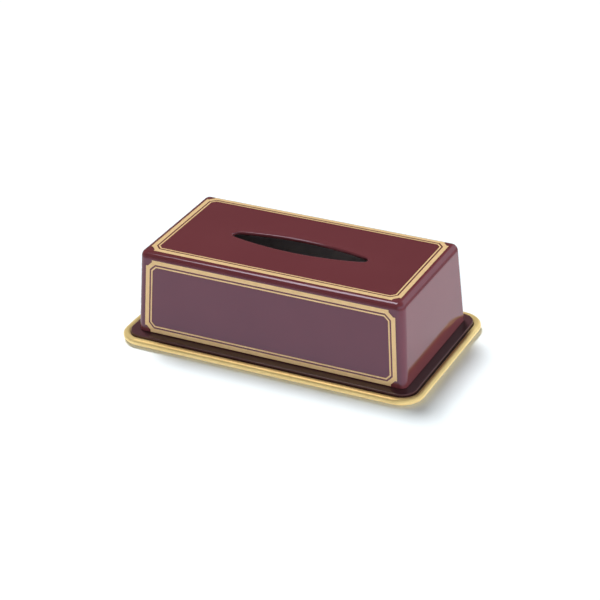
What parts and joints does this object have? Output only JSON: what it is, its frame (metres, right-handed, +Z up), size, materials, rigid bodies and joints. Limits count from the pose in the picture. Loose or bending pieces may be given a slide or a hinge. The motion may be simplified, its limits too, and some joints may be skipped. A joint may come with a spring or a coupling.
{
  "type": "tissue box",
  "caption": "Tapered tissue box cover with a long slot in its top and gold frame lines, standing on a low dark tray with a round gold rim.",
  "frame": {"origin": "on the surface that the feet stand on, under the middle of the tray", "axes": "+X along the long side to the right as seen from the front, -Y to the front, +Z up"},
  "size_m": [0.2906, 0.1646, 0.0872],
  "materials": {
    "maroon_gloss": "high gloss",
    "gold_foil": "metallic gold foil",
    "gold_rim": "metallised gold, polished",
    "tray_gloss": "gloss",
    "base_matt": "matt",
    "foot_rubber": "matt"
  },
  "bodies": {
    "tray": {"tray_body": "tray_gloss", "rim_bead": "gold_rim", "base_plate": "base_matt", "foot_front_left": "foot_rubber", "foot_front_right": "foot_rubber", "foot_rear_left": "foot_rubber", "foot_rear_right": "foot_rubber"},
    "cover": {"cover_shell": "maroon_gloss", "top_band": "gold_foil", "top_pinstripe": "gold_foil", "front_band": "gold_foil", "front_pinstripe": "gold_foil", "rear_band": "gold_foil", "rear_pinstripe": "gold_foil"}
  },
  "joints": [
    {"name": "cover_lift", "type": "slide", "parent": "tray", "child": "cover", "axis": [0, 0, 1], "range_m": [0, 0.1]}
  ]
}
